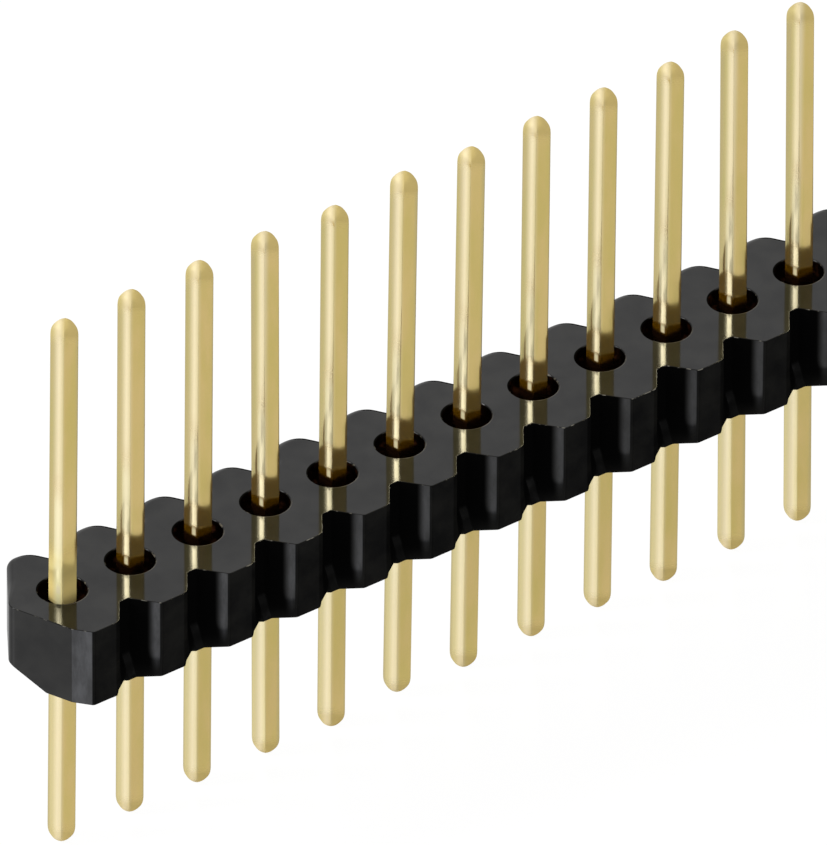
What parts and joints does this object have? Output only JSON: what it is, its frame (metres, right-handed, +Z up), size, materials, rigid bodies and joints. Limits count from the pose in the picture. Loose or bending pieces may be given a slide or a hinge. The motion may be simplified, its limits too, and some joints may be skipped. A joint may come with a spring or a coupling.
{
  "type": "pin header strip",
  "caption": "Straight single-row pin header strip: square gilt posts with rounded tips pressed through a black moulded insulator notched between its cells.",
  "frame": {"origin": "middle of the strip on the underside of the insulator, the face that sits on the circuit board", "axes": "+X along the row from the snapped end to the square end, +Y across the row, +Z up along the posts, away from the board"},
  "size_m": [0.0512, 0.0048, 0.0187],
  "materials": {
    "insulator_plastic": "black moulded thermoplastic, glossy top, slightly duller sides",
    "gilt_post": "thin pale gold plating over drawn copper-alloy wire, satin"
  },
  "bodies": {
    "root": {"insulator": "insulator_plastic", "pin_01": "gilt_post", "pin_02": "gilt_post", "pin_03": "gilt_post", "pin_04": "gilt_post", "pin_05": "gilt_post", "pin_06": "gilt_post", "pin_07": "gilt_post", "pin_08": "gilt_post", "pin_09": "gilt_post", "pin_10": "gilt_post", "pin_11": "gilt_post", "pin_12": "gilt_post", "pin_13": "gilt_post", "pin_14": "gilt_post", "pin_15": "gilt_post", "pin_16": "gilt_post", "pin_17": "gilt_post", "pin_18": "gilt_post", "pin_19": "gilt_post", "pin_20": "gilt_post"}
  },
  "joints": []
}
